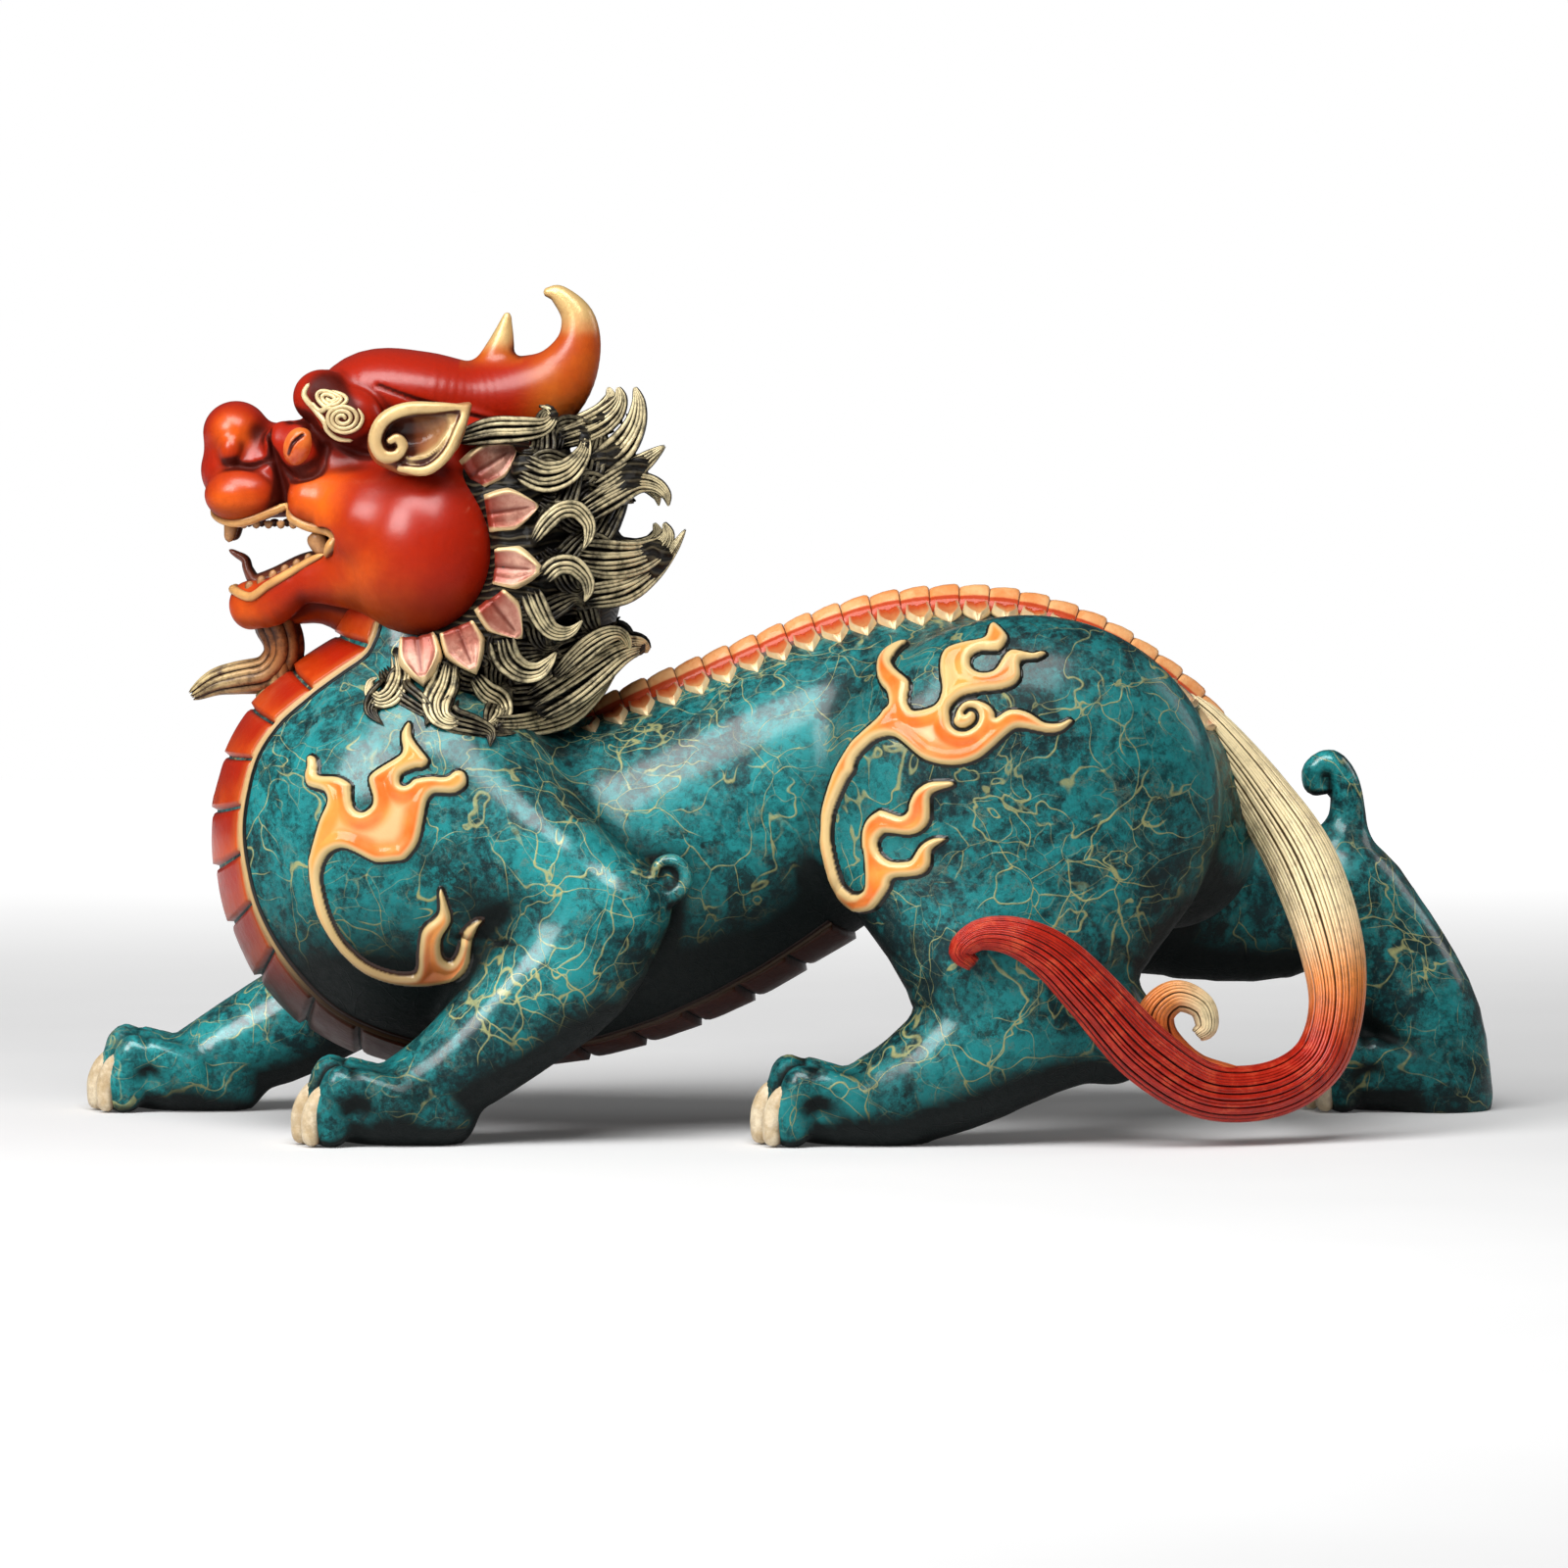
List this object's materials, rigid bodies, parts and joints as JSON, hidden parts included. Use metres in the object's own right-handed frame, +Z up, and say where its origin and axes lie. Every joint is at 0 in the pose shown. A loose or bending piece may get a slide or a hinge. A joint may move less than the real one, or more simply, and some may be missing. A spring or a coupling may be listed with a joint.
{
  "type": "guardian beast statue",
  "caption": "Cast metal statue of a striding one-horned pixiu, head raised and mouth open, with a curled mane, flame reliefs and a tail swept round its flank; stands on its paws",
  "frame": {"origin": "bottom centre of the bounding box, on the ground plane under the belly", "axes": "+X from head to tail, so the face looks towards -X; +Z up; -Y is the flank the tail is swept round to"},
  "size_m": [0.3678, 0.1319, 0.2139],
  "materials": {
    "patina": "teal patina, mottled and veined with pale gold, under a glossy clear lacquer"
  },
  "bodies": {
    "root": {"pixiu_statue": "patina"}
  },
  "joints": []
}
